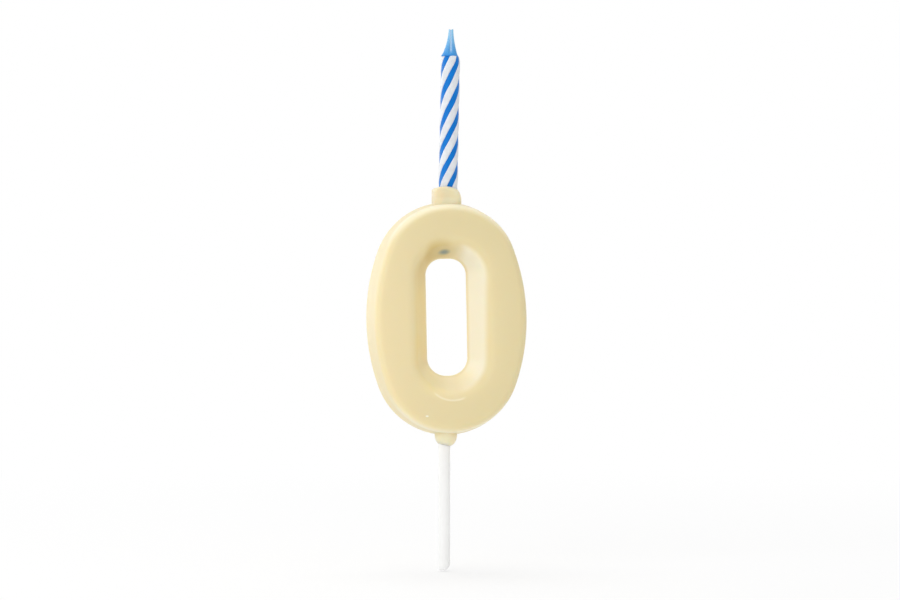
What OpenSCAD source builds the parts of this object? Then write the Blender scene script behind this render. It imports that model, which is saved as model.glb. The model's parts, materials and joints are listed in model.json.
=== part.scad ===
// Number candle: a cast numeral on a stick, with a striped birthday candle standing in its top.
// All sizes are in millimetres. The origin is the middle of the stick's lower end.
// +Z is up, the numeral's rounded front faces -Y and its flat back faces +Y.

/* [Numeral] */
// Height of the numeral
numeral_h = 62; // [54:0.2:72]
// Width of the numeral
numeral_w = 43; // [38:0.2:50]
// Thickness at the rim of the front face
numeral_t = 12.7; // [11.5:0.1:17]
// How far each side of the outline bows out past its round ends
numeral_bow = 2; // [1:0.1:3.5]
// Height of the counter, the opening of the numeral, at the flat back
counter_h = 30.8; // [26:0.2:34]
// Width of the counter at the flat back
counter_w = 10.4; // [8:0.2:13]
// How far each side of the counter bows out past its round ends
counter_bow = 0.12; // [0.05:0.01:0.5]
// Height of the counter's middle above the numeral's middle
counter_rise = 0.4; // [0:0.1:1.5]
// Draft angle of the outer wall
outer_draft = 7; // [3:0.5:12]
// Radius of the rounded outer edge
outer_round = 2.2; // [1.5:0.1:4.5]
// Draft angle of the counter's wall
counter_draft = 18.5; // [12:0.5:22]
// Radius of the rounded edge round the counter
counter_round = 2.5; // [1.5:0.1:4]
// Slope of the crowned front face at its rims
face_slope = 5; // [2:0.5:12]
// Distance from the flat back to the axes of the candle and the stick
axis_depth = 4.4; // [4.2:0.1:5.5]

/* [Collar and boss] */
// Width of the collar round the candle
collar_w = 7.7; // [7:0.1:8.4]
// Height of the collar above the numeral
collar_h = 4.2; // [2.5:0.1:8]
// How far the collar's shoulders fall below its top
collar_fall = 0.9; // [0.3:0.1:1.5]
// Width of the boss round the stick
boss_w = 5.8; // [5:0.1:7]
// Height of the boss below the numeral
boss_h = 2.8; // [2.5:0.1:6]
// How far the backs of the collar and the boss stay in front of the flat back
back_step = 0.3; // [0.1:0.05:0.6]
// Wall left between the candle socket and the counter
socket_skin = 0.4; // [0.3:0.05:1.5]
// Radial clearance round the candle in its socket
socket_fit = 0.1; // [0.05:0.01:0.3]

/* [Candle] */
// Length of the candle without its wick end
candle_len = 58.1; // [50:0.1:75]
// Diameter of the candle over its white strips
candle_d = 5.2; // [4.8:0.05:5.6]
// How far the white strips stand proud of the blue wax
strip_rise = 0.14; // [0.06:0.01:0.25]
// Depth of the flutes below the blue surface
flute_depth = 0.5; // [0.35:0.05:0.8]
// Share of the circumference that is white
white_share = 0.58; // [0.4:0.01:0.7]
// Height in which the strips make one full turn
stripe_lead = 29.8; // [20:0.2:45]
// Turn of the first strip's middle at the candle's foot
stripe_turn = 24; // [0:1:90]
// Clearance between each strip and its flute
strip_fit = 0.04; // [0.03:0.005:0.06]
// Lean of the candle to the right
candle_lean = 1.1; // [0:0.1:2]
// Height of the pinched tip
tip_h = 7.1; // [5:0.1:10]
// Diameter at the top of the tip
tip_top_d = 1.4; // [1.3:0.05:1.8]
// How far the foot of the tip stays inside the blue surface
tip_step = 0.08; // [0.04:0.01:0.3]
// Hollowness of the tip's side, as the power of its curve
tip_power = 1.9; // [1.2:0.1:2.6]
// Diameter of the wick
wick_d = 0.8; // [0.6:0.05:0.9]
// How far the wick stands out of the tip
wick_out = 0.3; // [0.1:0.1:4]
// Radial clearance round the wick
wick_fit = 0.02; // [0.01:0.005:0.04]

/* [Stick] */
// Diameter of the stick
stick_d = 3.1; // [2.6:0.1:3.6]
// Length of stick below the boss
stick_out = 32.7; // [25:0.1:90]
// Wall left between the stick's upper end and the counter
stick_skin = 2.9; // [1:0.1:5]
// Radius of the stick's rounded ends
stick_round = 0.35; // [0.2:0.05:0.45]
// How far the stick stands left of the numeral's middle
stick_offset = 1; // [0:0.1:2]
// Number of grip grooves round the cast-in end
groove_n = 3; // [2:1:4]
// Width of a grip groove
groove_w = 1; // [0.8:0.1:1.4]
// Depth of a grip groove
groove_depth = 0.25; // [0.2:0.05:0.5]
// Radial clearance between the stick and the cast body
cast_fit = 0.02; // [0.01:0.005:0.04]

/* [Hidden] */
$fn = 64;
// Points along each of an outline's four arcs
arc_steps = 18;
// Rings round each rounded edge of the numeral
round_steps = 6;
// Rings across the crowned face
face_steps = 4;
// Degrees of twist in one slice of the striped shaft
slice_turn = 12;
// Spans along the curved side of a strip, a land or a flute
strip_steps = 5;
// Spans up the pinched tip
tip_steps = 12;
// Number of strips round the candle
strip_n = 4;
// Rings round the collar's shoulder
shoulder_steps = 4;
// Facets round the blended collar and boss
blend_fn = 32;
// Overlap that joins the shapes of one piece
bond = 0.5;

numeral_a = numeral_w / 2;
numeral_b = numeral_h / 2;
counter_a = counter_w / 2;
counter_b = counter_h / 2;
numeral_foot_z = stick_out + boss_h;
numeral_mid_z = numeral_foot_z + numeral_b;
numeral_top_z = numeral_foot_z + numeral_h;
counter_top_z = numeral_mid_z + counter_rise + counter_b;
counter_foot_z = counter_top_z - counter_h;
collar_top_z = numeral_top_z + collar_h;
collar_foot_z = (counter_top_z + numeral_top_z) / 2;
collar_r = collar_w / 2;
boss_r = boss_w / 2;

candle_r = candle_d / 2;
core_r = candle_r - strip_rise;
flute_r = core_r - flute_depth;
strip_angle = 360 / strip_n * white_share;
land_angle = 360 / strip_n - strip_angle;
shaft_h = candle_len - tip_h;
shaft_turn = 360 * shaft_h / stripe_lead;
shaft_slices = ceil(shaft_turn / slice_turn);
socket_r = candle_r + socket_fit;
socket_floor_z = counter_top_z + (axis_depth + socket_r) * tan(counter_draft) + socket_skin;
socket_depth = collar_top_z - socket_floor_z;
tip_foot_r = core_r - tip_step;
tip_top_r = tip_top_d / 2;
wick_r = wick_d / 2;

stick_r = stick_d / 2;
stick_len = counter_foot_z - (axis_depth + stick_r) * tan(counter_draft) - stick_skin;
groove_pitch = (stick_len - stick_out) / groove_n;
dome_mid_z = stick_out + sqrt(pow(boss_r, 2) - pow(stick_r, 2));

// Distance from an outline's middle to the centre of its side arcs.
function side_centre(b, bow, end_r) = (pow(b - end_r, 2) - pow(bow, 2)) / (2 * bow);

// Outline of four tangent arcs, grown by a distance, as points that run round from the right side.
function outline(a, b, bow, grow) =
    let (
        end_r = a - bow,
        side_c = side_centre(b, bow, end_r),
        side_half = atan2(b - end_r, side_c),
        centres = [[-side_c, 0], [0, b - end_r], [side_c, 0], [0, end_r - b]]
    )
    [for (arc = [0:3], i = [0:arc_steps - 1])
        let (
            half = arc % 2 == 0 ? side_half : 90 - side_half,
            turn = 90 * arc + half * (2 * i / arc_steps - 1),
            r = (arc % 2 == 0 ? a + side_c : end_r) + grow
        )
        centres[arc] + r * [cos(turn), sin(turn)]];

// Side of one edge as [lean, height] pairs, from the flat back up to the rim of the face.
function edge_side(draft, round_r) =
    let (
        wall_h = numeral_t - round_r * (cos(face_slope) - sin(draft)),
        wall_lean = wall_h * tan(draft)
    )
    concat([[0, 0]], [for (k = [0:round_steps])
        let (turn = draft + (90 - face_slope - draft) * k / round_steps)
        [wall_lean + round_r * (cos(draft) - cos(turn)), wall_h + round_r * (sin(turn) - sin(draft))]]);

// Point of an outline at a height above the flat back, standing upright in the numeral's place.
function upright(p, h) = [stick_offset + p[0], axis_depth - h, numeral_mid_z + p[1]];

function outer_ring(lean) = outline(numeral_a, numeral_b, numeral_bow, -lean);
function counter_ring(lean) =
    [for (p = outline(counter_a, counter_b, counter_bow, lean)) p + [0, counter_rise]];

// Rings of points round the numeral's section: outer edge, crowned face, counter's edge.
function numeral_rings() =
    let (
        outer = edge_side(outer_draft, outer_round),
        inner = edge_side(counter_draft, counter_round),
        outer_rim = outer_ring(outer[len(outer) - 1][0]),
        inner_rim = counter_ring(inner[len(inner) - 1][0])
    )
    concat(
        [for (s = outer) [for (p = outer_ring(s[0])) upright(p, s[1])]],
        [for (k = [1:face_steps - 1])
            let (t = k / face_steps)
            [for (i = [0:len(outer_rim) - 1])
                let (span = inner_rim[i] - outer_rim[i])
                upright(outer_rim[i] + span * t, numeral_t + norm(span) * tan(face_slope) * t * (1 - t))]],
        [for (k = [len(inner) - 1:-1:0]) [for (p = counter_ring(inner[k][0])) upright(p, inner[k][1])]]
    );

// Solid that closes a list of rings into a loop.
module ring_loft(rings) {
    count = len(rings);
    points = len(rings[0]);
    polyhedron(
        points = [for (ring = rings, p = ring) p],
        faces = [for (k = [0:count - 1], i = [0:points - 1], half = [0, 1])
            let (
                a = k * points + i,
                b = k * points + (i + 1) % points,
                c = (k + 1) % count * points + (i + 1) % points,
                d = (k + 1) % count * points + i
            )
            half == 0 ? [a, c, b] : [a, d, c]]
    );
}

// Collar with a round front and shoulder and a flatter back.
module collar() {
    translate([stick_offset, 0, 0])
        hull() {
            for (k = [0:shoulder_steps])
                let (turn = 90 * k / shoulder_steps)
                translate([0, 0, collar_foot_z])
                    cylinder(
                        r = collar_r - collar_fall * (1 - cos(turn)),
                        h = collar_top_z - collar_foot_z - collar_fall * (1 - sin(turn)),
                        $fn = blend_fn
                    );
            translate([collar_fall - collar_r, axis_depth - back_step - bond, collar_foot_z])
                cube([collar_w - 2 * collar_fall, bond, collar_top_z - collar_foot_z - collar_fall]);
        }
}

// Domed boss with a flatter back.
module boss() {
    hull() {
        translate([0, 0, dome_mid_z])
            sphere(boss_r, $fn = blend_fn);
        translate([0, axis_depth - back_step, dome_mid_z + bond])
            rotate([90, 0, 0])
                cylinder(r = boss_r - bond, h = bond, $fn = blend_fn);
        translate([0, 0, numeral_foot_z])
            cylinder(r = boss_r, h = boss_r, $fn = blend_fn);
    }
}

// Moves a shape from the candle's foot to its place in the leaning socket.
module candle_place() {
    translate([stick_offset, 0, collar_top_z])
        rotate([0, candle_lean, 0])
            translate([0, 0, -socket_depth])
                children();
}

// Half section of the stick, grown by a clearance.
module stick_half(grow) {
    difference() {
        union() {
            square([stick_r + grow - stick_round, stick_len + grow]);
            translate([0, stick_round])
                square([stick_r + grow, stick_len + grow - 2 * stick_round]);
            for (z = [stick_round, stick_len + grow - stick_round])
                translate([stick_r + grow - stick_round, z])
                    circle(stick_round);
        }
        for (i = [0:groove_n - 1])
            translate([stick_r + grow - groove_depth, stick_out + i * groove_pitch + grow])
                square([stick_d, groove_w - 2 * grow]);
    }
}

module numeral() {
    color([0.93, 0.87, 0.7])
        difference() {
            union() {
                ring_loft(numeral_rings());
                collar();
                boss();
            }
            candle_place()
                cylinder(r = socket_r, h = socket_depth + collar_h);
            rotate_extrude()
                stick_half(cast_fit);
        }
}

// Section of the fluted blue shaft.
module core_section() {
    polygon([for (i = [0:strip_n - 1], side = [0, 1], k = [0:strip_steps])
        let (
            turn = side == 0
                ? stripe_turn + 360 / strip_n * i + strip_angle * (k / strip_steps - 0.5)
                : stripe_turn + 360 / strip_n * (i + 0.5) + land_angle * (k / strip_steps - 0.5),
            r = side == 0 ? flute_r : core_r
        )
        r * [cos(turn), sin(turn)]]);
}

// Section of one white strip with its rounded outer face.
module strip_section() {
    half = strip_angle / 2 - strip_fit / flute_r * 180 / PI;
    polygon(concat(
        [for (k = [0:strip_steps])
            let (t = 2 * k / strip_steps - 1, r = candle_r - strip_rise * pow(t, 4))
            r * [cos(half * t), sin(half * t)]],
        [for (k = [strip_steps:-1:0])
            let (t = 2 * k / strip_steps - 1, r = flute_r + strip_fit)
            r * [cos(half * t), sin(half * t)]]
    ));
}

// Half section of the pinched tip, with a spigot that joins it to the shaft.
module tip_half() {
    polygon(concat(
        [[0, shaft_h - bond], [flute_r - bond, shaft_h - bond], [flute_r - bond, shaft_h]],
        [for (k = [0:tip_steps])
            let (t = k / tip_steps)
            [tip_top_r + (tip_foot_r - tip_top_r) * pow(1 - t, tip_power), shaft_h + tip_h * t]],
        [[0, candle_len]]
    ));
}

module candle_core() {
    color([0.16, 0.46, 0.79])
        candle_place()
            difference() {
                union() {
                    linear_extrude(shaft_h, twist = -shaft_turn, slices = shaft_slices, segments = 1)
                        core_section();
                    rotate_extrude()
                        tip_half();
                }
                translate([0, 0, -bond])
                    cylinder(r = wick_r + wick_fit, h = candle_len + 2 * bond);
            }
}

module white_stripe(i) {
    color([0.93, 0.94, 0.96])
        candle_place()
            linear_extrude(shaft_h, twist = -shaft_turn, slices = shaft_slices, segments = 1)
                rotate(stripe_turn + 360 / strip_n * i)
                    strip_section();
}

module wick() {
    color([0.75, 0.8, 0.85])
        candle_place()
            cylinder(r = wick_r, h = candle_len + wick_out);
}

module stick() {
    color([0.96, 0.96, 0.95])
        rotate_extrude()
            stick_half(0);
}

numeral();
candle_core();
white_stripe(0);  // white_stripe_1
white_stripe(1);  // white_stripe_2
white_stripe(2);  // white_stripe_3
white_stripe(3);  // white_stripe_4
wick();
stick();
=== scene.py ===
import json
import math

import bpy
import numpy as np
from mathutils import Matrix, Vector


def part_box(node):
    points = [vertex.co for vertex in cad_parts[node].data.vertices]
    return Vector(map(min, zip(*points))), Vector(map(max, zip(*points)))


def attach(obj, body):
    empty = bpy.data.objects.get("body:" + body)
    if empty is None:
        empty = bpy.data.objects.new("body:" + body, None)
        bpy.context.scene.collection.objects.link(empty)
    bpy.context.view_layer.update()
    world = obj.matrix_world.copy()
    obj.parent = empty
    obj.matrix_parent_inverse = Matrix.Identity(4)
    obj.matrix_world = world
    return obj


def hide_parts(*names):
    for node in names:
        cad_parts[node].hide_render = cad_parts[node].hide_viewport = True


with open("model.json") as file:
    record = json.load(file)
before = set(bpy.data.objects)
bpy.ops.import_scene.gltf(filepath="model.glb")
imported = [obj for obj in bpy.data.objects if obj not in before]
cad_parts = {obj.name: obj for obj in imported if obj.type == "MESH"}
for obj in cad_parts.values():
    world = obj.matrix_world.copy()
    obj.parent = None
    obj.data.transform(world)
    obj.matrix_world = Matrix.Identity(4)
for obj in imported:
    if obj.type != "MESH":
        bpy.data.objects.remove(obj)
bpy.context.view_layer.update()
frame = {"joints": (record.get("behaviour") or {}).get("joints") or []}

# Lengths are in millimetres until a mesh, a material or a lamp is made.
MM = 0.001

# Sizes that the part's source gives.
NUMERAL_H = 62.0
COUNTER_H = 30.8
COUNTER_W = 10.4
COUNTER_RISE = 0.4
RIM_T = 12.7
OUTER_BOW = 2.0
OUTER_DRAFT = math.radians(7)
OUTER_ROUND = 2.2
COUNTER_DRAFT = math.radians(18.5)
COUNTER_ROUND = 3.4
FACE_SLOPE = math.radians(5)
COLLAR_H = 4.2
STICK_OUT = 32.7
STICK_R = 1.55
CANDLE_LEN = 58.1
TIP_H = 7.1
CANDLE_R = 2.6
CORE_R = 2.46
FLUTE_R = 1.96
STRIPE_LEAD = 29.8
STRIPE_TURN = math.radians(24)
WHITE_SHARE = 0.58
STRIPS = 4

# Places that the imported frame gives.
numeral_low, numeral_high = np.array(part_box("numeral")) / MM
STICK_TOP = np.array(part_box("stick"))[1, 2] / MM
CORE_TOP = np.array(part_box("candle_core"))[1, 2] / MM
MIDDLE_X = (numeral_low[0] + numeral_high[0]) / 2
HALF_W = (numeral_high[0] - numeral_low[0]) / 2
BACK_Y = numeral_high[1]
COLLAR_TOP = numeral_high[2]
MIDDLE_Z = COLLAR_TOP - COLLAR_H - NUMERAL_H / 2
COUNTER_Z = MIDDLE_Z + COUNTER_RISE
SHAFT_H = CANDLE_LEN - TIP_H

# The candle's own axes and the middle of its foot.
UP = np.array(frame["joints"][0]["axis"])
RIGHT = np.array([UP[2], 0.0, -UP[0]])
AWAY = np.array([0.0, 1.0, 0.0])
MOUTH = np.array([MIDDLE_X, 0.0, COLLAR_TOP])
FOOT = MOUTH + UP * ((CORE_TOP - COLLAR_TOP) / UP[2] - CANDLE_LEN)


# Shape helpers

TINY = 1e-6
RIPPLE_WAVES = 6
RIPPLE_PITCHES = (0.6, 1.6)


def turned(x, z, tilt):
    """Coordinates in a frame whose top leans to the left by a tilt."""
    c, s = math.cos(tilt), math.sin(tilt)
    return x * c + z * s, z * c - x * s


def arc_oval(x, z, a, b, bow):
    """Distance inside an outline of four tangent arcs."""
    end_r = a - bow
    end_c = b - end_r
    side_c = (end_c ** 2 - bow ** 2) / (2 * bow)
    x, z = np.abs(x), np.abs(z)
    on_side = z * side_c < end_c * (x + side_c)
    return np.where(on_side, a + side_c - np.hypot(x + side_c, z), end_r - np.hypot(x, z - end_c))


def slot_oval(x, z, a, b, r):
    """Distance inside a rectangle with rounded corners."""
    x, z = np.abs(x) - (a - r), np.abs(z) - (b - r)
    outside = np.hypot(np.maximum(x, 0), np.maximum(z, 0))
    return r - outside - np.minimum(np.maximum(x, z), 0)


def rounded(u, v, r, k):
    """Depth inside two walls whose shared edge has radius r; k is the cosine between their normals."""
    p, q = r - u, r - v
    arc = r - np.sqrt(np.maximum(p * p + q * q - 2 * k * p * q, 0) / (1 - k * k))
    return np.where((p > k * q) & (q > k * p), arc, np.minimum(u, v))


def joined(u, v, k):
    """Union of two depths with a fillet of about k."""
    h = np.clip(0.5 + 0.5 * (u - v) / k, 0, 1)
    return v + (u - v) * h + k * h * (1 - h)


def ease(value, low, high):
    """Smooth step from 0 at low to 1 at high."""
    t = np.clip((value - low) / (high - low), 0, 1)
    return t * t * (3 - 2 * t)


def ripple(x, z, pitch, seed):
    """Slow uneven waves between -1 and 1."""
    rng = np.random.RandomState(seed)
    total = np.zeros_like(x)
    for _ in range(RIPPLE_WAVES):
        turn = rng.uniform(0, 2 * math.pi)
        rate = 2 * math.pi / (pitch * rng.uniform(*RIPPLE_PITCHES))
        total += np.sin(rate * (x * math.cos(turn) + z * math.sin(turn)) + rng.uniform(0, 2 * math.pi))
    return total / RIPPLE_WAVES


def hollows(x, z, half, pitch, seed):
    """Depth of uneven hollows whose middle level is half of the deepest."""
    return half + half * ripple(x, z, pitch, seed)


def edge_width(draft, r):
    """Distance from an edge's outline at the back to the rim of the face."""
    wall = RIM_T - r * (math.cos(FACE_SLOPE) - np.sin(draft))
    return wall * np.tan(draft) + r * (np.cos(draft) - math.sin(FACE_SLOPE))


# Numeral

# Ring: its tilts, the counter's corners and the steeper wall over the given heights from its middle.
OUTER_TILT = math.radians(0.5)
COUNTER_TILT = math.radians(1.15)
COUNTER_CORNER = 4.75
TOP_CORNER = 4.2
BACK_ROUND = 0.4
TOP_DRAFT = math.radians(4)
TOP_DRAFT_SPAN = (16, 28)

# Hollows of the outline, the back and the face: half depth, pitch and seed.
OUTLINE_HOLLOWS = (0.03, 26, 3)
BACK_HOLLOWS = (0.04, 11, 5)
FACE_HOLLOWS = (0.03, 19, 8)

# Crescent ridge under the counter: its circle, its own middle and where its ends fade.
RIDGE_MIDDLE = (1.5, 52.4)
RIDGE_R = 7.1
RIDGE_AT = (0.4, 45.4)
RIDGE_ENDS = (3.4, 4.9)
RIDGE_H = 0.12
RIDGE_W = 0.3

# Collar: a squarish front, a flat back, an uneven top and shoulders that widen to the right.
COLLAR_X = 0.7
COLLAR_R = 3.75
COLLAR_DEEP = 12
COLLAR_SQUARE = 3.2
COLLAR_BACK_ROUND = 0.9
COLLAR_CROWN = 0.07
COLLAR_CROWN_X = -0.4
COLLAR_DIP = 0.13
COLLAR_WAVE, COLLAR_PITCH, COLLAR_SEED = 0.2, 2.6, 12
COLLAR_SHOULDERS = (0.2, 0.8, 2.2)
BACK_STEP = 0.3

# Boss: a drop round the stick, flatter behind.
BOSS_X = 0.46
BOSS_R = 2.95
BOSS_MIDDLE = STICK_OUT + 3.1
BOSS_TOP = STICK_OUT + 9
BOSS_DROP = 3.25
BOSS_FULL = 2.1
BOSS_BEHIND = 0.4
BOSS_WAVE, BOSS_PITCH, BOSS_SEED = 0.03, 3, 21

# Fillets where the collar and the boss meet the ring, and the gaps round the candle and the stick.
FILLET = 0.12
SOCKET_GAP = 0.07
BORE_GAP = 0.03

# Mesh: lattice step, margin round the box, and how vertices settle on the surface.
NET_STEP = 0.28
NET_MARGIN = 0.9
SETTLE_ROUNDS = 4
PROBE = 0.02
LEAST_SLOPE = 0.25
LONGEST_PUSH = 0.1


def crown_rise(outer, inner, draft):
    """Rise of the face between its rims, below zero outside them."""
    rim_out = outer - edge_width(draft, OUTER_ROUND)
    rim_in = inner - edge_width(COUNTER_DRAFT, COUNTER_ROUND)
    out_side, in_side = np.maximum(rim_out, TINY), np.maximum(rim_in, TINY)
    return out_side * in_side / (out_side + in_side) + np.minimum(rim_out, 0) + np.minimum(rim_in, 0)


def ridge_rise(x, z):
    """Rise of the crescent ridge under the counter."""
    off = np.hypot(x - RIDGE_MIDDLE[0], z - RIDGE_MIDDLE[1]) - RIDGE_R
    ends = ease(np.hypot(x - RIDGE_AT[0], z - RIDGE_AT[1]), *RIDGE_ENDS)
    return RIDGE_H * np.exp(-(off / RIDGE_W) ** 2) * (1 - ends)


def body_depth(x, y, z):
    """Depth inside the numeral's ring."""
    nx, nz = turned(x - MIDDLE_X, z - MIDDLE_Z, OUTER_TILT)
    cx, cz = turned(x - MIDDLE_X, z - COUNTER_Z, COUNTER_TILT)
    outer = arc_oval(nx, nz, HALF_W, NUMERAL_H / 2, OUTER_BOW) - hollows(nx, nz, *OUTLINE_HOLLOWS)
    corner = np.where(cz > 0, TOP_CORNER, COUNTER_CORNER)
    inner = -slot_oval(cx, cz, COUNTER_W / 2, COUNTER_H / 2, corner)
    draft = OUTER_DRAFT + (TOP_DRAFT - OUTER_DRAFT) * ease(nz, *TOP_DRAFT_SPAN)
    h = BACK_Y - y
    back = h - hollows(nx, nz, *BACK_HOLLOWS)
    level = RIM_T + math.tan(FACE_SLOPE) * crown_rise(outer, inner, draft)
    face = (level - h) * math.cos(FACE_SLOPE) + ridge_rise(x, z) - hollows(nx, nz, *FACE_HOLLOWS)
    wall_out = (outer - h * np.tan(draft)) * np.cos(draft)
    wall_in = (inner - h * math.tan(COUNTER_DRAFT)) * math.cos(COUNTER_DRAFT)
    edges = [
        rounded(wall_out, face, OUTER_ROUND, np.sin(draft + FACE_SLOPE)),
        rounded(wall_in, face, COUNTER_ROUND, math.sin(COUNTER_DRAFT + FACE_SLOPE)),
        rounded(wall_out, back, BACK_ROUND, -np.sin(draft)),
        rounded(wall_in, back, BACK_ROUND, -math.sin(COUNTER_DRAFT)),
    ]
    return np.minimum.reduce(edges)


def collar_depth(x, y, z):
    """Depth inside the collar, whose top falls away to the right."""
    cx = x - COLLAR_X
    flat_back = rounded(COLLAR_R - np.abs(cx), BACK_Y - BACK_STEP - y, COLLAR_BACK_ROUND, 0.0)
    across = (np.abs(cx) ** COLLAR_SQUARE + np.abs(y) ** COLLAR_SQUARE) ** (1 / COLLAR_SQUARE)
    wall = np.where(y < 0, COLLAR_R - across, flat_back)
    uneven = COLLAR_WAVE * ripple(x, y, COLLAR_PITCH, COLLAR_SEED)
    top = COLLAR_TOP - COLLAR_DIP - COLLAR_CROWN * (cx - COLLAR_CROWN_X) ** 2 + uneven - z
    shoulder_r = np.interp(cx, [-COLLAR_R, 0, COLLAR_R], COLLAR_SHOULDERS)
    return np.minimum(rounded(wall, top, shoulder_r, 0.0), z - (COLLAR_TOP - COLLAR_DEEP))


def boss_depth(x, y, z):
    """Depth inside the boss, a drop of cast material round the stick."""
    drop = np.abs(np.minimum(z - BOSS_MIDDLE, 0)) * BOSS_R / BOSS_DROP
    across = np.hypot(x - BOSS_X, np.where(y < 0, y, BOSS_BEHIND * y))
    dome = BOSS_R - (across ** BOSS_FULL + drop ** BOSS_FULL) ** (1 / BOSS_FULL)
    dome = dome + BOSS_WAVE * ripple(x + y, z, BOSS_PITCH, BOSS_SEED)
    return np.minimum(np.minimum(dome, BACK_Y - BACK_STEP - y), BOSS_TOP - z)


def numeral_depth(p):
    """Depth of points inside the cast numeral."""
    x, y, z = p[..., 0], p[..., 1], p[..., 2]
    depth = joined(body_depth(x, y, z), collar_depth(x, y, z), FILLET)
    depth = joined(depth, boss_depth(x, y, z), FILLET)
    off = p - FOOT
    socket = np.minimum(CANDLE_R + SOCKET_GAP - np.hypot(off @ RIGHT, y), off @ UP)
    bore = np.minimum(STICK_R + BORE_GAP - np.hypot(x, y), STICK_TOP + BORE_GAP - z)
    return np.minimum(depth, -np.maximum(socket, bore))


def net(depth, low, high, step):
    """Quads over the zero surface of a depth function, from a grid of samples."""
    axes = [np.arange(low[i], high[i] + step, step) for i in range(3)]
    grid = np.stack(np.meshgrid(*axes, indexing="ij"), axis=-1)
    f = np.stack([depth(slab) for slab in grid])
    inside = f > 0
    n = np.array(f.shape) - 1

    def corner(values, c):
        return values[c[0]:c[0] + n[0], c[1]:c[1] + n[1], c[2]:c[2] + n[2]]

    corners = [(i, j, k) for i in (0, 1) for j in (0, 1) for k in (0, 1)]
    count = sum(corner(inside, c).astype(np.int8) for c in corners)
    active = (count > 0) & (count < len(corners))
    index = np.full(tuple(n), -1)
    index[active] = np.arange(active.sum())
    total = np.zeros((active.sum(), 3))
    hits = np.zeros(active.sum())
    for c in corners:
        for axis in range(3):
            if c[axis]:
                continue
            other = list(c)
            other[axis] = 1
            fa, fb = corner(f, c)[active], corner(f, other)[active]
            cross = (fa > 0) != (fb > 0)
            point = np.tile(np.array(c, float), (len(fa), 1))
            point[:, axis] += np.where(cross, fa / np.where(cross, fa - fb, 1), 0)
            total[cross] += point[cross]
            hits[cross] += 1
    verts = (np.argwhere(active) + total / hits[:, None]) * step + np.array(low)
    quads = []
    for axis in range(3):
        e, g = (axis + 1) % 3, (axis + 2) % 3
        lower = [slice(1, n[i]) for i in range(3)]
        upper = list(lower)
        lower[axis], upper[axis] = slice(0, n[axis]), slice(1, n[axis] + 1)
        a, b = inside[tuple(lower)], inside[tuple(upper)]
        for leaves, flip in ((a & ~b, False), (b & ~a, True)):
            at = np.argwhere(leaves)
            at[:, e] += 1
            at[:, g] += 1
            cells = []
            for de, dg in ((0, 0), (1, 0), (1, 1), (0, 1)):
                cell = at.copy()
                cell[:, e] -= de
                cell[:, g] -= dg
                cells.append(index[cell[:, 0], cell[:, 1], cell[:, 2]])
            quad = np.stack(cells, axis=1)
            quads.append(quad[:, ::-1] if flip else quad)
    return settled(depth, verts), np.concatenate(quads)


def settled(depth, verts):
    """Vertices moved onto the zero surface of a depth function."""
    for _ in range(SETTLE_ROUNDS):
        value = depth(verts)
        slope = np.stack([(depth(verts + PROBE * axis) - value) / PROBE for axis in np.eye(3)], axis=1)
        push = -value / np.maximum((slope ** 2).sum(axis=1), LEAST_SLOPE)
        verts = verts + np.clip(push, -LONGEST_PUSH, LONGEST_PUSH)[:, None] * slope
    return verts


def piece(name, verts, faces, body, node, material):
    """Smooth mesh object that stands for a node and rides on its body."""
    mesh = bpy.data.meshes.new(name)
    mesh.from_pydata((np.asarray(verts) * MM).tolist(), [], [list(map(int, f)) for f in faces])
    mesh.validate()
    mesh.update()
    mesh.shade_smooth()
    mesh.materials.append(material)
    obj = bpy.data.objects.new(name, mesh)
    bpy.context.scene.collection.objects.link(obj)
    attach(obj, body)
    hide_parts(node)
    return obj


# Materials

def linear(r, g, b):
    """Scene-linear colour from an 8-bit screen colour."""
    def one(v):
        v = v / 255
        return v / 12.92 if v <= 0.04045 else ((v + 0.055) / 1.055) ** 2.4
    return (one(r), one(g), one(b), 1.0)


NOISE_SPAN = (0.3, 0.7)
EVEN = (1, 1, 1)
FLAT = (1, 0, 1)


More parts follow.
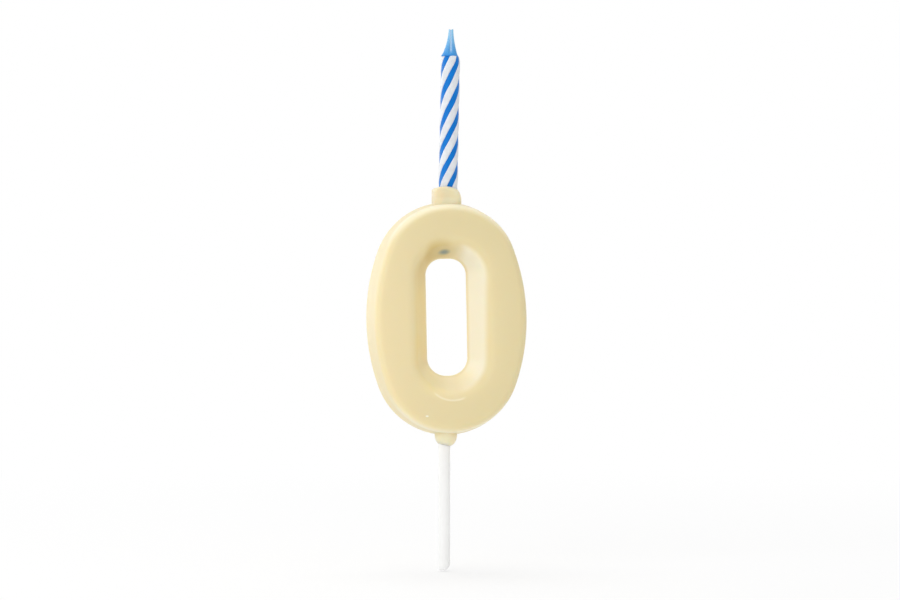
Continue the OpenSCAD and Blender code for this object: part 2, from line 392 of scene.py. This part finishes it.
class Graph:
    """Node graph round one Principled shader."""

    def __init__(self, name):
        self.mat = bpy.data.materials.new(name)
        self.mat.use_nodes = True
        self.nodes = self.mat.node_tree.nodes
        self.links = self.mat.node_tree.links
        self.shader = self.nodes["Principled BSDF"]
        self.coord = self.nodes.new("ShaderNodeTexCoord").outputs["Object"]

    def set(self, socket, value):
        """Links a node's output to a shader input, or sets a constant there."""
        self.join(value, self.shader.inputs[socket])

    def join(self, value, target):
        """Links an output to an input, or sets a constant there."""
        if isinstance(value, bpy.types.NodeSocket):
            self.links.new(value, target)
        else:
            target.default_value = value

    def noise(self, scale, detail=3.0, stretch=EVEN):
        """Noise over the piece, with each axis scaled."""
        mapping = self.nodes.new("ShaderNodeMapping")
        mapping.inputs["Scale"].default_value = stretch
        self.links.new(self.coord, mapping.inputs["Vector"])
        noise = self.nodes.new("ShaderNodeTexNoise")
        noise.inputs["Scale"].default_value = scale
        noise.inputs["Detail"].default_value = detail
        self.links.new(mapping.outputs["Vector"], noise.inputs["Vector"])
        return noise.outputs["Fac"]

    def span(self, value, low, high, first=0.0, last=1.0):
        """Smooth step of a value from one result to another."""
        node = self.nodes.new("ShaderNodeMapRange")
        node.interpolation_type = "SMOOTHSTEP"
        self.links.new(value, node.inputs["Value"])
        for key, number in (("From Min", low), ("From Max", high), ("To Min", first), ("To Max", last)):
            node.inputs[key].default_value = number
        return node.outputs["Result"]

    def over(self, length, low, high, first=0.0, last=1.0):
        """Smooth step of a length between two others, which are in millimetres."""
        return self.span(length, low * MM, high * MM, first, last)

    def mottle(self, scale, first=0.0, last=1.0, detail=3.0, stretch=EVEN):
        """Uneven value between two results."""
        return self.span(self.noise(scale, detail, stretch), *NOISE_SPAN, first, last)

    def mix(self, factor, first, last):
        """Colour between two others."""
        node = self.nodes.new("ShaderNodeMix")
        node.data_type = "RGBA"
        self.join(factor, node.inputs["Factor"])
        colours = [i for i in node.inputs if i.type == "RGBA"]
        self.join(first, colours[0])
        self.join(last, colours[1])
        return [o for o in node.outputs if o.type == "RGBA"][0]

    def near(self, point, scale=EVEN):
        """Distance in metres from a point, with each axis scaled."""
        mapping = self.nodes.new("ShaderNodeMapping")
        mapping.vector_type = "POINT"
        mapping.inputs["Scale"].default_value = scale
        mapping.inputs["Location"].default_value = [-p * s * MM for p, s in zip(point, scale)]
        self.links.new(self.coord, mapping.inputs["Vector"])
        length = self.nodes.new("ShaderNodeVectorMath")
        length.operation = "LENGTH"
        self.links.new(mapping.outputs["Vector"], length.inputs[0])
        return length.outputs["Value"]

    def patch(self, tone, colour, point, scale, edge, share):
        """Tone with a soft patch of a colour round a point; its edge fades between two distances."""
        return self.mix(self.over(self.near(point, scale), *edge, share, 0.0), tone, colour)

    def outside(self, middle, half, corner):
        """Distance in metres outside a box with rounded edges."""
        value = self.coord
        steps = (("SUBTRACT", middle), ("ABSOLUTE", (0, 0, 0)),
                 ("SUBTRACT", [h - corner for h in half]), ("MAXIMUM", (0, 0, 0)))
        for operation, other in steps:
            node = self.nodes.new("ShaderNodeVectorMath")
            node.operation = operation
            self.links.new(value, node.inputs[0])
            node.inputs[1].default_value = [o * MM for o in other]
            value = node.outputs["Vector"]
        length = self.nodes.new("ShaderNodeVectorMath")
        length.operation = "LENGTH"
        self.links.new(value, length.inputs[0])
        less = self.nodes.new("ShaderNodeMath")
        less.operation = "SUBTRACT"
        self.links.new(length.outputs["Value"], less.inputs[0])
        less.inputs[1].default_value = corner * MM
        return less.outputs["Value"]

    def along(self, axis):
        """Place along one axis, in metres."""
        node = self.nodes.new("ShaderNodeSeparateXYZ")
        self.links.new(self.coord, node.inputs["Vector"])
        return node.outputs[axis]

    def product(self, first, *others):
        """Product of values."""
        for other in others:
            node = self.nodes.new("ShaderNodeMath")
            node.operation = "MULTIPLY"
            self.links.new(first, node.inputs[0])
            self.links.new(other, node.inputs[1])
            first = node.outputs["Value"]
        return first

    def bump(self, height, strength, distance):
        """Fine relief of the surface."""
        node = self.nodes.new("ShaderNodeBump")
        node.inputs["Strength"].default_value = strength
        node.inputs["Distance"].default_value = distance * MM
        self.links.new(height, node.inputs["Height"])
        self.set("Normal", node.outputs["Normal"])

    def soft(self, weight, radius, scale):
        """Light that scatters under the surface."""
        self.set("Subsurface Weight", weight)
        self.set("Subsurface Radius", radius)
        self.set("Subsurface Scale", scale * MM)


# Cast: tones of the face, the collar and the boss, with painted light: the face lighter on the left and
# darker on the right, the collar painted darker on its left and lighter on its right against the light
# from the left, and the boss painted paler as if lit from below.
FACE_LIT_LEFT, FACE_SHADED_RIGHT = linear(237, 222, 178), linear(226, 213, 168)
FACE_LIT, FACE_LIT_SCALE, FACE_SHADE_SPAN = (-14, -8, 64), (1, 0.3, 1), (5, 50)
COLLAR_SHADE_LEFT, COLLAR_LIGHT_RIGHT = linear(232, 216, 180), linear(250, 230, 192)
COLLAR_SHADE_SPAN = (-2, 4)
BOSS_LIT_TONE = linear(248, 231, 195)

# Cast: painted shade and light on the walls of the counter, with the places along an axis or the
# distances where each tone fades: a deeper golden painted shade on the left wall, a painted highlight
# on the right wall, painted shade on the top wall and painted light on the low wall.
LEFT_SHADE_LOW, LEFT_SHADE_HIGH, LEFT_SHADE_Z = linear(240, 214, 132), linear(216, 187, 98), (72, 83)
LEFT_SHADE_SHARE, LEFT_SHADE_X, LEFT_SHADE_FROM_Z, LEFT_SHADE_EDGE = 0.62, (-4, 2), (46, 62), (3, 4.8)
RIGHT_HIGHLIGHT_LOW, RIGHT_HIGHLIGHT_HIGH, RIGHT_HIGHLIGHT_Z = linear(246, 241, 221), linear(254, 248, 230), (74, 82)
RIGHT_HIGHLIGHT_SHARE, RIGHT_HIGHLIGHT_X, RIGHT_HIGHLIGHT_EDGE = 0.85, (2.5, 6.2), (3.4, 5)
TOP_SHADE_TONE, TOP_SHADE_GOLD, TOP_SHADE_GOLD_X = linear(216, 196, 134), linear(206, 174, 84), (-6, -1)
LOW_LIGHT_LEFT, LOW_LIGHT_RIGHT, LOW_LIGHT_X = linear(254, 236, 182), linear(250, 236, 199), (-5, 2)
ENDLESS = 1000

# Cast: the candle's foot that shows through the skin under the socket, painted highlights along the
# rims and on the crest of the crescent ridge, and a tiny pale fleck.
SPOT_TONE = linear(110, 136, 138)
RIM_HIGHLIGHT_TONE, RIM_HIGHLIGHT_SHARE = linear(250, 244, 222), 0.5
RIM_INSET, RIM_Y = (2.6, 1.2), (-5, -2)
RIM_START, RIM_STOP = (7, 15), (20.1, 21.1)
CREST_HIGHLIGHT_TONE, CREST_HIGHLIGHT_SHARE, CREST_HIGHLIGHT_W = linear(252, 244, 220), 0.55, 0.45
FLECK_TONE = linear(253, 250, 240)
FRONT_Y = (1.5, 4)

# Soft patches of the cast: middle, scale of each axis, distances of the edge, and share.
# Painted shade and light on the collar.
COLLAR_SHADE_PATCH = ((1, 0, 101), EVEN, (4.5, 6.5), 1.0)
# Painted light on the boss.
BOSS_LIGHT_PATCH = ((0.5, 0, 33.5), (1, 0.6, 1), (3, 4), 1.0)
# Painted shade on the top wall of the counter.
TOP_SHADE_PATCH = ((-2, -1, 85), (0.4, 0.2, 0.45), (1, 2.3), 0.8)
# Painted light on the low wall of the counter.
LOW_LIGHT_PATCH = ((0, -1, 50), (0.24, 0.2, 0.42), (1.2, 2.6), 0.75)
SPOT_PATCH = ((-0.2, -1.5, 84.3), (1, 0.6, 1), (0.3, 2.1), 0.85)
FLECK_PATCH = ((-5.4, -8.6, 41.2), (0.7, 0.3, 1.2), (0.15, 0.4), 0.85)


def tone_with_painted_light(g):
    """Tone of the cast without its marks, with painted light in it: the face lighter on the left and
    darker on the right, the collar darker on its left and lighter on its right, and the boss paler.
    """
    # Painted light: the face lighter towards the left and darker towards the right.
    drift = g.over(g.near(FACE_LIT, FACE_LIT_SCALE), *FACE_SHADE_SPAN)
    tone = g.mix(drift, FACE_LIT_LEFT, FACE_SHADED_RIGHT)
    # Painted shade and light: the collar darker on its left and lighter on its right, against the light
    # from the left.
    collar = g.mix(g.over(g.along("X"), *COLLAR_SHADE_SPAN), COLLAR_SHADE_LEFT, COLLAR_LIGHT_RIGHT)
    tone = g.patch(tone, collar, *COLLAR_SHADE_PATCH)
    # Painted light: the boss paler, as if lit from below.
    return g.patch(tone, BOSS_LIT_TONE, *BOSS_LIGHT_PATCH)


def counter_shade_and_light(g, tone):
    """Tone with painted shade and light on the counter's walls: a deeper golden painted shade on the
    left, a paler painted highlight on the right, painted shade on the top wall and painted light on the
    low wall.
    """
    half = (COUNTER_W / 2, ENDLESS, COUNTER_H / 2)
    beyond = g.outside((MIDDLE_X, 0, COUNTER_Z), half, COUNTER_CORNER)
    side, height = g.along("X"), g.along("Z")
    # Painted shade: a deeper golden tone on the left wall.
    left = g.product(g.over(side, *LEFT_SHADE_X, LEFT_SHADE_SHARE, 0.0), g.over(height, *LEFT_SHADE_FROM_Z),
                     g.over(beyond, *LEFT_SHADE_EDGE, 1.0, 0.0))
    tone = g.mix(left, tone, g.mix(g.over(height, *LEFT_SHADE_Z), LEFT_SHADE_LOW, LEFT_SHADE_HIGH))
    # Painted highlight: a paler tone on the right wall.
    right = g.product(g.over(side, *RIGHT_HIGHLIGHT_X, 0.0, RIGHT_HIGHLIGHT_SHARE), g.over(beyond, *RIGHT_HIGHLIGHT_EDGE, 1.0, 0.0))
    tone = g.mix(right, tone, g.mix(g.over(height, *RIGHT_HIGHLIGHT_Z), RIGHT_HIGHLIGHT_LOW, RIGHT_HIGHLIGHT_HIGH))
    # Painted shade: a darker, golden tone on the top wall.
    top = g.mix(g.over(side, *TOP_SHADE_GOLD_X, 1.0, 0.0), TOP_SHADE_TONE, TOP_SHADE_GOLD)
    tone = g.patch(tone, top, *TOP_SHADE_PATCH)
    # Painted light: a paler tone on the low wall.
    low = g.mix(g.over(side, *LOW_LIGHT_X), LOW_LIGHT_LEFT, LOW_LIGHT_RIGHT)
    return g.patch(tone, low, *LOW_LIGHT_PATCH)


def rim_highlights(g, tone):
    """Tone with painted highlights along the rims at the numeral's two ends."""
    end_r = HALF_W - OUTER_BOW
    end_z = NUMERAL_H / 2 - end_r
    height = g.along("Z")
    in_rim = g.over(g.along("Y"), *RIM_Y, 1.0, 0.0)
    for arc_z, outward in ((MIDDLE_Z + end_z, 1), (MIDDLE_Z - end_z, -1)):
        off = g.near((MIDDLE_X, 0, arc_z), FLAT)
        rim = g.over(off, end_r - RIM_INSET[0], end_r - RIM_INSET[1], 0.0, RIM_HIGHLIGHT_SHARE)
        start = g.over(height, *[arc_z + outward * reach for reach in RIM_START])
        stop = g.over(height, *[arc_z + outward * reach for reach in RIM_STOP], 1.0, 0.0)
        # Painted highlight: a pale band along the rim.
        tone = g.mix(g.product(rim, start, stop, in_rim), tone, RIM_HIGHLIGHT_TONE)
    return tone


def crest_highlight(g, tone):
    """Tone with a painted highlight on the crest of the crescent ridge."""
    off = g.near((RIDGE_MIDDLE[0], 0, RIDGE_MIDDLE[1]), FLAT)
    rising = g.over(off, RIDGE_R - CREST_HIGHLIGHT_W, RIDGE_R)
    falling = g.over(off, RIDGE_R, RIDGE_R + CREST_HIGHLIGHT_W, 1.0, 0.0)
    between = g.over(g.near((RIDGE_AT[0], 0, RIDGE_AT[1]), FLAT), *RIDGE_ENDS, CREST_HIGHLIGHT_SHARE, 0.0)
    # Painted highlight: a pale line along the ridge's crest.
    return g.mix(g.product(rising, falling, between), tone, CREST_HIGHLIGHT_TONE)


def cream():
    """Satin cast that lets light into it."""
    g = Graph("cream_cast")
    plain = tone_with_painted_light(g)
    tone = g.patch(counter_shade_and_light(g, plain), SPOT_TONE, *SPOT_PATCH)
    tone = crest_highlight(g, rim_highlights(g, tone))
    tone = g.patch(tone, FLECK_TONE, *FLECK_PATCH)
    in_front = g.over(g.along("Y"), *FRONT_Y, 1.0, 0.0)
    g.set("Base Color", g.mix(in_front, plain, tone))
    g.set("Roughness", g.mottle(160, 0.42, 0.48, detail=2.0))
    g.set("Specular IOR Level", 0.3)
    g.soft(0.7, (1.0, 0.8, 0.55), 2.4)
    g.bump(g.noise(150, 1.0), 0.1, 0.15)
    return g.mat


# Blue wax: its own tones, the paler tip from its foot up, and a painted highlight streak on the tip's
# front.
BLUE_DEEP, BLUE_BRIGHT = linear(0, 115, 203), linear(4, 123, 213)
TIP_LOW, TIP_HIGH = linear(70, 150, 216), linear(142, 200, 236)
TIP_PALE_FROM = -0.5
TIP_EDGE = (-0.6, 0.7)
TIP_HIGHLIGHT_TONE, TIP_HIGHLIGHT_SHARE = linear(196, 218, 238), 0.6
TIP_HIGHLIGHT_X, TIP_HIGHLIGHT_EDGE = -0.12, (0.1, 0.38)
TIP_HIGHLIGHT_Y, TIP_HIGHLIGHT_FROM = (-0.6, -0.2), (0.6, 1.8)


def blue():
    """Blue wax, paler where the tip is pinched, with a painted highlight streak on the tip's front."""
    g = Graph("blue_wax")
    tone = g.mix(g.mottle(500), BLUE_DEEP, BLUE_BRIGHT)
    tip_x = (FOOT + UP * (SHAFT_H + TIP_H / 2))[0]
    tip_foot = (FOOT + UP * SHAFT_H)[2]
    height = g.along("Z")
    pale = g.mix(g.over(height, tip_foot + TIP_PALE_FROM, tip_foot + TIP_H), TIP_LOW, TIP_HIGH)
    tone = g.mix(g.over(height, *[tip_foot + edge for edge in TIP_EDGE]), tone, pale)
    # Painted highlight: a pale streak down the tip's front.
    tip_highlight = g.over(g.near((tip_x + TIP_HIGHLIGHT_X, 0, 0), (1, 0, 0)), *TIP_HIGHLIGHT_EDGE, TIP_HIGHLIGHT_SHARE, 0.0)
    front = g.over(g.along("Y"), *TIP_HIGHLIGHT_Y, 1.0, 0.0)
    upper = g.over(height, *[tip_foot + edge for edge in TIP_HIGHLIGHT_FROM])
    g.set("Base Color", g.mix(g.product(tip_highlight, front, upper), tone, TIP_HIGHLIGHT_TONE))
    g.set("Roughness", g.mottle(700, 0.3, 0.42))
    g.set("Specular IOR Level", 0.15)
    g.soft(0.1, (0.3, 0.6, 1.0), 0.4)
    g.bump(g.noise(1800), 0.1, 0.06)
    return g.mat


def white():
    """White wax of the strips."""
    g = Graph("white_wax")
    g.set("Base Color", g.mix(g.mottle(700), linear(218, 221, 227), linear(229, 232, 237)))
    g.set("Roughness", g.mottle(900, 0.34, 0.48))
    g.set("Specular IOR Level", 0.4)
    g.soft(0.15, (1.0, 0.95, 0.9), 0.4)
    g.bump(g.noise(2200), 0.16, 0.06)
    return g.mat


def cotton():
    """Wick's cotton, stained by the blue wax."""
    g = Graph("wick_cotton")
    g.set("Base Color", g.mix(g.mottle(4000, detail=2.0), linear(120, 172, 218), linear(190, 212, 232)))
    g.set("Roughness", 0.8)
    g.bump(g.noise(5000, 2.0), 0.4, 0.05)
    return g.mat


def stick_white():
    """Stick's white, with lengthwise grain."""
    g = Graph("stick_white")
    grain = (1, 1, 0.06)
    tone = g.mix(g.mottle(300, stretch=grain), linear(240, 240, 239), linear(245, 245, 244))
    g.set("Base Color", tone)
    g.set("Roughness", g.mottle(500, 0.35, 0.5, stretch=grain))
    g.soft(0.6, (1.0, 1.0, 1.0), 1.2)
    g.bump(g.noise(2200, stretch=grain), 0.12, 0.05)
    return g.mat


# Candle and stick

# Shaft: rows of points, and how far, over what height and how sharply it draws in below the tip.
ROWS = 200
SHOULDER_IN = 0.36
SHOULDER_H = 2.4
SHOULDER_POWER = 2.2

# Strips: half width, wander (turn, rate along the shaft, step per strip) and drift about one height.
STRIP_HALF = math.pi / STRIPS * WHITE_SHARE
WANDERS = ((0.02, 0.55, 2.1), (0.015, 1.31, 0.7))
DRIFT, DRIFT_MORE = 0.1, 0.15
DRIFT_AT, DRIFT_SPREAD = 35, 9
STRIP_SINK = 0.02
STRIP_CROWN, STRIP_CROWN_POWER = 0.12, 4
STRIP_OVER, STRIP_UNDER = 15, 9
STRIP_FILL, SEAT_FILL = 0.985, 0.975
SEAT_GAP = 0.03
FLUTE_FOLLOW = 0.6

# Core: points over each flute and land, and the hollow of a land.
FLUTE_POINTS = 9
LAND_HOLLOW = 0.03

# Tip: points, flare, clefts between four lobes, bulge to the left, lean, and the lip at its foot.
TIP_POINTS, TIP_ROWS = 128, 44
TIP_R, TIP_FLARE, TIP_POWER = 0.66, 1.56, 1.7
LOBE_TURN = math.radians(-140)
CLEFT, CLEFT_SPAN = 0.26, (0.0, 0.3)
CLEFT_DROP, CLEFT_DROP_SPAN = 0.3, (0.92, 1.0)
BULGE, BULGE_POWER = 0.12, 5
BULGE_TURN = math.radians(190)
TIP_LEAN = 0.2
LIP, LIP_STEP = 0.05, 0.006

# Wick: three twisted plies that end inside the candle's length.
WICK_POINTS, WICK_ROWS = 36, 160
WICK_R, WICK_PLY, WICK_PLIES, WICK_TWIST = 0.3, 0.05, 3, 2.2
WICK_FROM, WICK_SHORT = 0.2, 0.12

# Stick: heights and insets of its lower edge, insets of its upper end, and its crushed lower right.
STICK_POINTS, STICK_ROWS = 64, 60
STICK_SPAN = (1.0, 0.4)
STICK_SINK = 0.005
LOWER_EDGE = ((0, 0.8), (0, 0.3), (0.05, 0.12), (0.15, 0.03), (0.35, 0.0))
UPPER_INSETS = (0.3, 0.9)
CRUSH, CRUSH_POWER = 0.75, 1.4
CRUSH_FROM, CRUSH_H = 0.1, 3


def placed(local):
    """Points given along the candle's own axes, in the shared frame."""
    local = np.asarray(local)
    return FOOT + local[..., 0:1] * RIGHT + local[..., 1:2] * AWAY + local[..., 2:3] * UP


def ring(radii, angles, heights):
    """Points round an axis."""
    return np.stack([radii * np.cos(angles), radii * np.sin(angles), heights + 0 * angles], axis=1)


def full_turn(points):
    """Even angles of a whole turn."""
    return np.linspace(0, 2 * math.pi, points, endpoint=False)


def tube(rings):
    """Closed mesh of stacked rings with equal point counts."""
    rings = np.asarray(rings)
    m, n = rings.shape[:2]
    sides = [[k * n + i, k * n + (i + 1) % n, (k + 1) * n + (i + 1) % n, (k + 1) * n + i]
             for k in range(m - 1) for i in range(n)]
    top = [(m - 1) * n + i for i in range(n)]
    foot = [n - 1 - i for i in range(n)]
    return rings.reshape(-1, 3), sides + [top, foot]


def shoulder(z):
    """How far the shaft draws in below the tip."""
    return SHOULDER_IN * np.clip((z - SHAFT_H + SHOULDER_H) / SHOULDER_H, 0, 1) ** SHOULDER_POWER


def strip_middle(i, z):
    """Turn of a strip's middle at a height, a little uneven as in rolled wax."""
    wander = sum(turn * np.sin(z * rate + step * i) for turn, rate, step in WANDERS)
    drift = DRIFT + DRIFT_MORE * np.exp(-((z - DRIFT_AT) / DRIFT_SPREAD) ** 2)
    return STRIPE_TURN + 2 * math.pi * (i / STRIPS + z / STRIPE_LEAD) + drift + wander


def strip_rings(i):
    """Sections of one white strip, up the shaft."""
    across = np.linspace(-1, 1, STRIP_OVER)
    under = np.linspace(1, -1, STRIP_UNDER)
    for z in np.linspace(0, SHAFT_H, ROWS):
        outer = CANDLE_R - STRIP_SINK - STRIP_CROWN * np.abs(across) ** STRIP_CROWN_POWER - shoulder(z)
        inner = FLUTE_R + SEAT_GAP - FLUTE_FOLLOW * shoulder(z) + 0 * under
        turns = np.concatenate([STRIP_FILL * across, SEAT_FILL * under]) * STRIP_HALF
        yield ring(np.concatenate([outer, inner]), turns + strip_middle(i, z), z)


def shaft_rings():
    """Sections of the blue shaft, with a flute under each strip and a land between two."""
    t = np.linspace(0, 1, FLUTE_POINTS)
    for z in np.linspace(0, SHAFT_H, ROWS):
        flute = FLUTE_R - FLUTE_FOLLOW * shoulder(z) + 0 * t
        land = CORE_R - shoulder(z) - LAND_HOLLOW * (1 - (2 * t - 1) ** 2)
        turns = []
        for i in range(STRIPS):
            start = strip_middle(i, z) - STRIP_HALF
            stop = strip_middle(i, z) + STRIP_HALF
            following = strip_middle(i + 1, z) - STRIP_HALF
            if i == STRIPS - 1:
                following = strip_middle(0, z) + 2 * math.pi - STRIP_HALF
            turns += [start + (stop - start) * t, stop + (following - stop) * t]
        yield ring(np.concatenate([flute, land] * STRIPS), np.concatenate(turns), z)


def tip_rings():
    """Sections of the pinched tip, from the lip at its foot up."""
    angles = full_turn(TIP_POINTS)
    left = np.maximum(np.cos(angles - BULGE_TURN), 0) ** 2
    cleft = np.maximum(-np.cos(STRIPS * (angles - LOBE_TURN)), 0) ** 2
    for t in np.concatenate([[-2 * LIP_STEP, -LIP_STEP], np.linspace(0, 1, TIP_ROWS)]):
        s = max(t, 0)
        radius = (TIP_R + TIP_FLARE * (1 - s) ** TIP_POWER) * (1 - CLEFT * ease(s, *CLEFT_SPAN) * cleft)
        radius = radius + BULGE * left * (1 - s) ** BULGE_POWER
        if t < 0:
            radius = radius - LIP * (t / LIP_STEP) ** 2
        drop = CLEFT_DROP * ease(s, *CLEFT_DROP_SPAN) * cleft
        points = ring(radius, angles, SHAFT_H + TIP_H * t - drop)
        points[:, 0] -= TIP_LEAN * (1 - s) ** 2
        yield points


def wick_rings():
    """Sections of the twisted wick."""
    angles = full_turn(WICK_POINTS)
    for z in np.linspace(WICK_FROM, CANDLE_LEN - WICK_SHORT, WICK_ROWS):
        yield ring(WICK_R + WICK_PLY * np.cos(WICK_PLIES * (angles - z * WICK_TWIST)), angles, z)


def stick_rings():
    """Sections of the stick, from the middle of its lower end."""
    angles = full_turn(STICK_POINTS)
    rows = list(LOWER_EDGE)
    rows += [(z, 0.0) for z in np.linspace(STICK_SPAN[0], STICK_TOP - STICK_SPAN[1], STICK_ROWS)]
    rows += [(STICK_TOP, inset) for inset in UPPER_INSETS]
    for z, inset in rows:
        radius = STICK_R - STICK_SINK - inset
        to_right = np.maximum(radius * np.cos(angles) - CRUSH_FROM, 0)
        crush = CRUSH * to_right ** CRUSH_POWER * np.clip(1 - z / CRUSH_H, 0, 1)
        yield ring(radius, angles, z + crush)


def many(groups):
    """One mesh out of several."""
    verts, faces, count = [], [], 0
    for v, f in groups:
        verts.append(v)
        faces += [[i + count for i in face] for face in f]
        count += len(v)
    return np.concatenate(verts), faces


cream_mat, white_mat = cream(), white()
verts, quads = net(numeral_depth, numeral_low - NET_MARGIN, numeral_high + NET_MARGIN, NET_STEP)
piece("numeral_cast", verts, quads, "numeral", "numeral", cream_mat)

for i in range(STRIPS):
    verts, faces = tube([placed(r) for r in strip_rings(i)])
    piece(f"wax_strip_{i + 1}", verts, faces, "candle", f"white_stripe_{i + 1}", white_mat)

verts, faces = many([tube([placed(r) for r in shaft_rings()]), tube([placed(r) for r in tip_rings()])])
piece("candle_wax", verts, faces, "candle", "candle_core", blue())

verts, faces = tube([placed(r) for r in wick_rings()])
piece("wick_strand", verts, faces, "candle", "wick", cotton())

verts, faces = tube(list(stick_rings()))
piece("stick_rod", verts, faces, "numeral", "stick", stick_white())


# Stage, light and camera, in metres

AMBIENT = 0.74
FLOOR_SIZE = 8.0
FLOOR_Z = -0.4 * MM
FLOOR_GREY = (0.95, 0.95, 0.95, 1)
WHITE = (1, 1, 1, 1)
GLOW_SHARE, GLOW_SPAN = 0.5, (0.06, 0.4)

# Lamps: place, width, height and watts of each.
LAMP_AIM = (0, 0, 0.075)
LAMPS = {
    "key": ((-0.66, -0.7, 0.4), 0.8, 0.8, 2.5),
    "top": ((-0.1, 0.1, 0.95), 0.6, 0.6, 2.2),
    "window": ((-0.8, 0.38, 0.15), 1.1, 1.2, 7.0),
    "fill": ((-0.6, 0.75, 0.35), 0.8, 0.8, 0.5),
}

AZIMUTH, ELEVATION, DISTANCE = math.radians(-6.2), math.radians(0.8), 0.8
FRAME_W = 238.5 * MM
AIM_RIGHT, AIM_UP = 1.51 * MM, 71.55 * MM
CLIP_START = 0.01

scene = bpy.context.scene
scene.view_settings.view_transform = "Standard"


def shown_rays(nodes, links):
    """One where a ray comes from the camera, a reflection or a transmission."""
    path = nodes.new("ShaderNodeLightPath")
    either = path.outputs["Is Camera Ray"]
    for name in ("Is Glossy Ray", "Is Transmission Ray"):
        most = nodes.new("ShaderNodeMath")
        most.operation = "MAXIMUM"
        links.new(either, most.inputs[0])
        links.new(path.outputs[name], most.inputs[1])
        either = most.outputs[0]
    return either


def blended(nodes, links, factor, first, last, kind):
    """Output of a tree that mixes two shaders."""
    mixer = nodes.new("ShaderNodeMixShader")
    links.new(factor, mixer.inputs[0])
    links.new(first.outputs[0], mixer.inputs[1])
    links.new(last.outputs[0], mixer.inputs[2])
    links.new(mixer.outputs[0], nodes.new(kind).inputs["Surface"])


def studio(ambient):
    """World that lights with an ambient strength and shows as white."""
    world = bpy.data.worlds.new("studio")
    world.use_nodes = True
    nodes, links = world.node_tree.nodes, world.node_tree.links
    nodes.clear()
    shaders = []
    for strength in (ambient, 1.0):
        shader = nodes.new("ShaderNodeBackground")
        shader.inputs["Color"].default_value = WHITE
        shader.inputs["Strength"].default_value = strength
        shaders.append(shader)
    blended(nodes, links, shown_rays(nodes, links), *shaders, "ShaderNodeOutputWorld")
    return world


def floor_white(near_share, near, far):
    """Pale floor that shows nearly white, with the object's shadow near its foot."""
    mat = bpy.data.materials.new("floor")
    mat.use_nodes = True
    nodes, links = mat.node_tree.nodes, mat.node_tree.links
    nodes.clear()
    matte = nodes.new("ShaderNodeBsdfDiffuse")
    matte.inputs["Color"].default_value = FLOOR_GREY
    glow = nodes.new("ShaderNodeEmission")
    glow.inputs["Color"].default_value = WHITE
    coord = nodes.new("ShaderNodeTexCoord")
    length = nodes.new("ShaderNodeVectorMath")
    length.operation = "LENGTH"
    links.new(coord.outputs["Object"], length.inputs[0])
    spread = nodes.new("ShaderNodeMapRange")
    spread.interpolation_type = "SMOOTHSTEP"
    links.new(length.outputs["Value"], spread.inputs["Value"])
    for key, number in (("From Min", near), ("From Max", far), ("To Min", near_share), ("To Max", 1.0)):
        spread.inputs[key].default_value = number
    share = nodes.new("ShaderNodeMath")
    share.operation = "MULTIPLY"
    links.new(shown_rays(nodes, links), share.inputs[0])
    links.new(spread.outputs["Result"], share.inputs[1])
    blended(nodes, links, share.outputs[0], matte, glow, "ShaderNodeOutputMaterial")
    return mat


def floor():
    """Floor just below the stick's lower end."""
    bpy.ops.mesh.primitive_plane_add(size=FLOOR_SIZE, location=(0, 0, FLOOR_Z))
    plane = bpy.context.object
    plane.name = "floor"
    plane.data.materials.append(floor_white(GLOW_SHARE, *GLOW_SPAN))


def softbox(name, at, width, height, watts):
    """Rectangular lamp that looks at the object's middle."""
    data = bpy.data.lights.new(name, "AREA")
    data.shape = "RECTANGLE"
    data.size, data.size_y = width, height
    data.energy = watts
    lamp = bpy.data.objects.new(name, data)
    scene.collection.objects.link(lamp)
    lamp.location = at
    lamp.rotation_euler = (Vector(LAMP_AIM) - Vector(at)).to_track_quat("-Z", "Y").to_euler()
    return lamp


def camera():
    """Camera at the photograph's angle."""
    across = Vector((math.cos(AZIMUTH), math.sin(AZIMUTH), 0))
    level = math.cos(ELEVATION)
    back = Vector((math.sin(AZIMUTH) * level, -math.cos(AZIMUTH) * level, math.sin(ELEVATION)))
    data = bpy.data.cameras.new("camera")
    data.sensor_fit = "HORIZONTAL"
    data.lens = data.sensor_width * DISTANCE / FRAME_W
    data.clip_start = CLIP_START
    obj = bpy.data.objects.new("camera", data)
    scene.collection.objects.link(obj)
    obj.location = across * AIM_RIGHT + Vector((0, 0, AIM_UP)) + back * DISTANCE
    obj.rotation_euler = (-back).to_track_quat("-Z", "Y").to_euler()
    return obj


scene.world = studio(AMBIENT)
floor()
lamps = {name: softbox(name, *lamp) for name, lamp in LAMPS.items()}
lamps["window"].visible_diffuse = False
scene.camera = camera()
